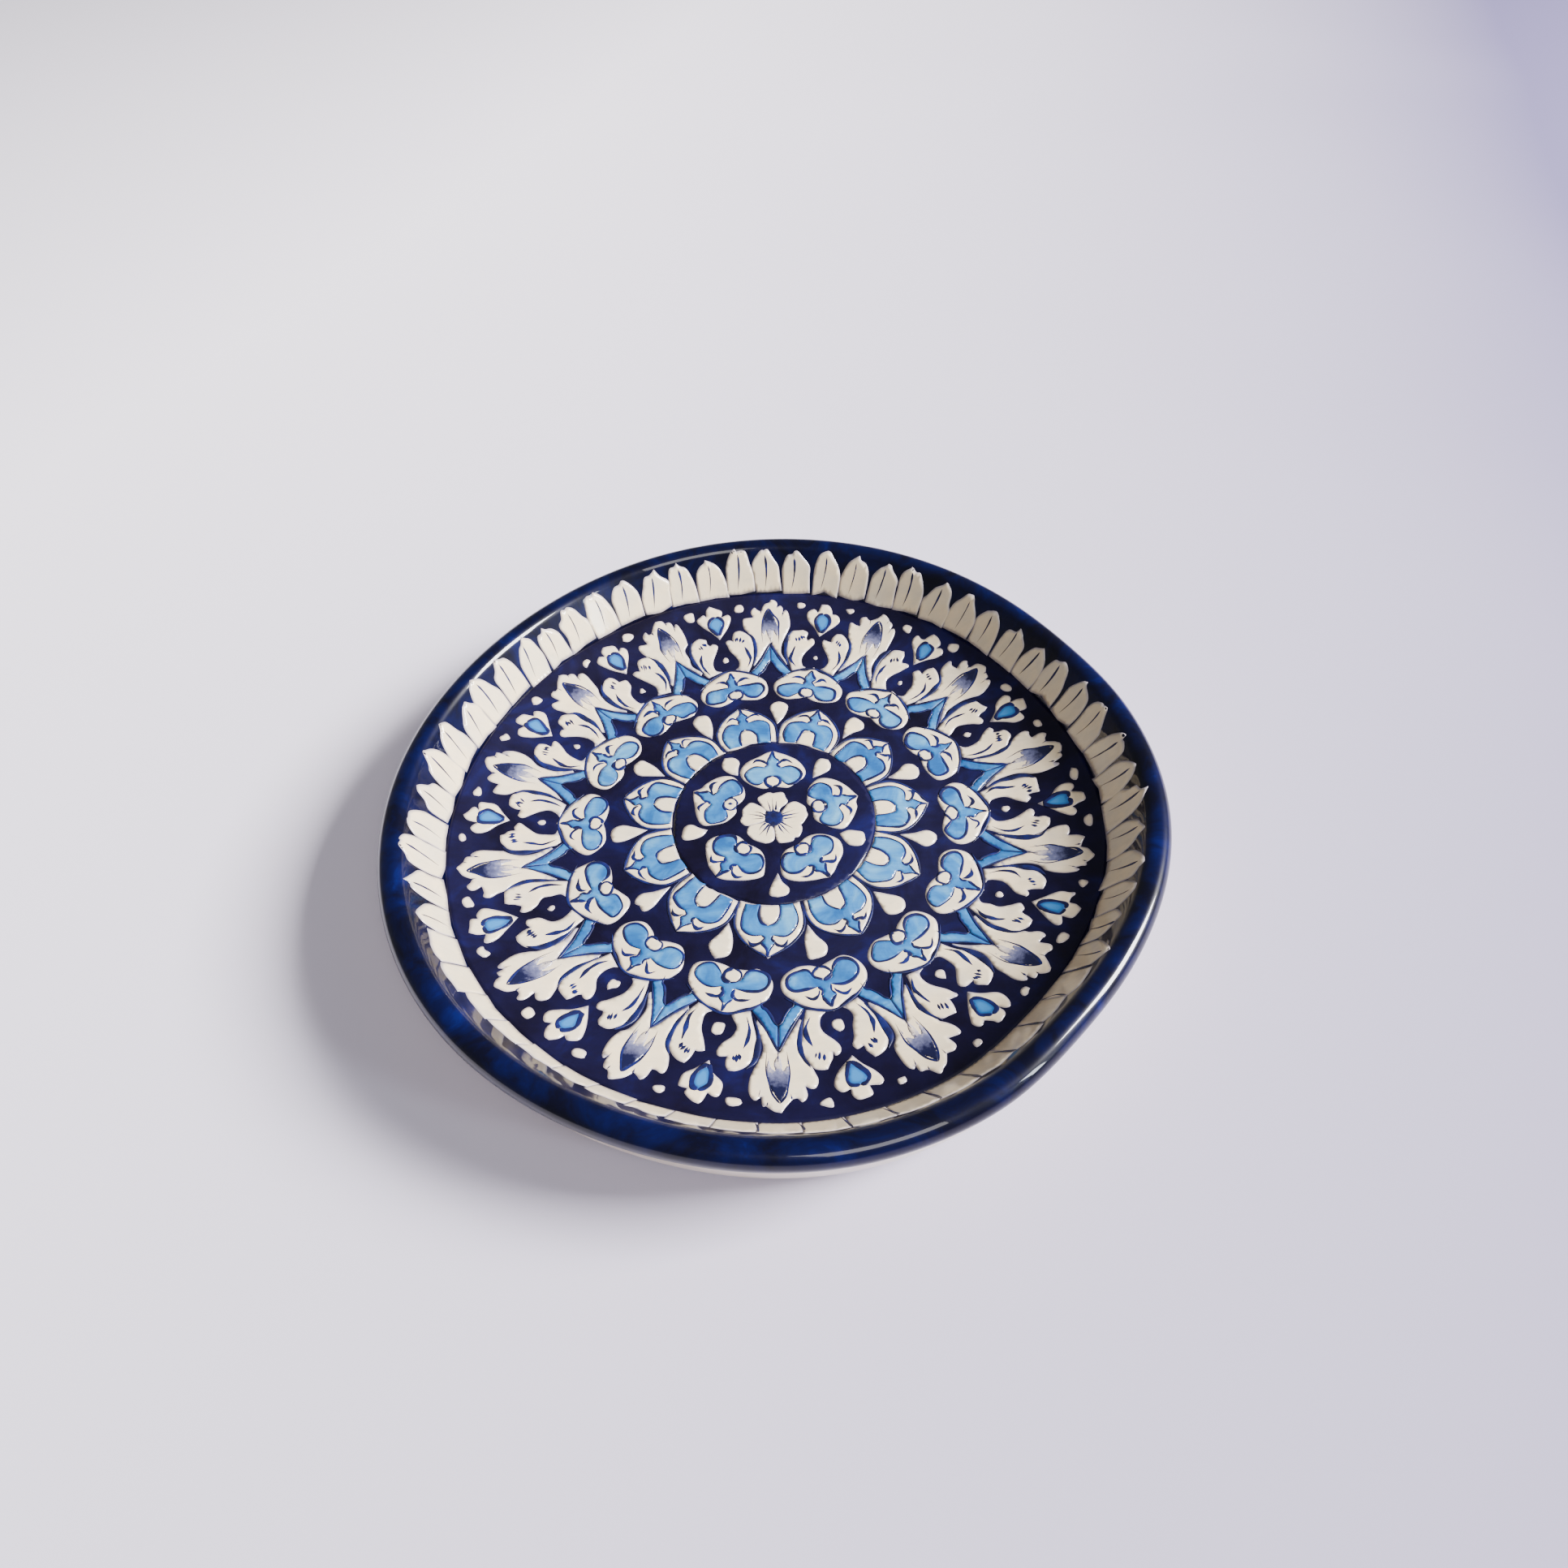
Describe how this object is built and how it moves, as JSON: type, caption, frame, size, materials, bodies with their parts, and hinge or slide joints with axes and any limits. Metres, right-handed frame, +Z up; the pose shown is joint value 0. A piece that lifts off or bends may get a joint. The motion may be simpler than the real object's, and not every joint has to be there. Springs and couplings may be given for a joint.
{
  "type": "hand painted ceramic plate",
  "caption": "Round glazed plate with a steep rolled rim, a shallow well painted with a radial leaf and petal pattern in ivory and blue on cobalt, and a turned foot ring.",
  "frame": {"origin": "centre of the foot ring's seat, on the surface that the plate stands on", "axes": "+Z up out of the well along the plate's axis of turning; +X and +Y lie in the table plane, +X through the middle of one medallion, and -Y towards the viewer"},
  "size_m": [0.3, 0.3, 0.0432],
  "materials": {
    "clay": "fired buff earthenware, matt, seen bare only on the foot's seat",
    "cream_glaze": "glossy warm cream glaze with faint specks and soft pooling",
    "cobalt_glaze": "glossy cobalt glaze with cloudy brush mottling",
    "well_cobalt": "brushed dark cobalt ground under a clear gloss glaze",
    "ivory_slip": "ivory slip under a clear gloss glaze, slightly raised",
    "light_blue": "streaky light blue brushwork under a clear gloss glaze",
    "navy_stroke": "thin navy brush strokes under a clear gloss glaze"
  },
  "bodies": {
    "root": {"clay_body": "clay", "foot_ring": "clay", "rim_glaze": "cobalt_glaze", "outer_glaze": "cream_glaze", "underside_glaze": "cream_glaze", "well_glaze": "well_cobalt", "centre_disc": "well_cobalt", "wall_petals": "ivory_slip", "wall_petal_ribs": "navy_stroke", "acanthus_leaves": "ivory_slip", "leaf_throats": "navy_stroke", "leaf_curls": "ivory_slip", "curl_veins": "navy_stroke", "leaf_stems": "light_blue", "tulips": "ivory_slip", "tulip_fills": "light_blue", "border_dots": "ivory_slip", "loop_drops": "ivory_slip", "medallions": "ivory_slip", "medallion_fills": "light_blue", "medallion_pearls": "ivory_slip", "rosette_petals": "ivory_slip", "rosette_fills": "light_blue", "rosette_pearls": "ivory_slip", "rosette_darts": "ivory_slip", "centre_hearts": "ivory_slip", "heart_fills": "light_blue", "heart_pearls": "ivory_slip", "centre_drops": "ivory_slip", "flower_petals": "ivory_slip", "flower_eye": "navy_stroke"}
  },
  "joints": []
}
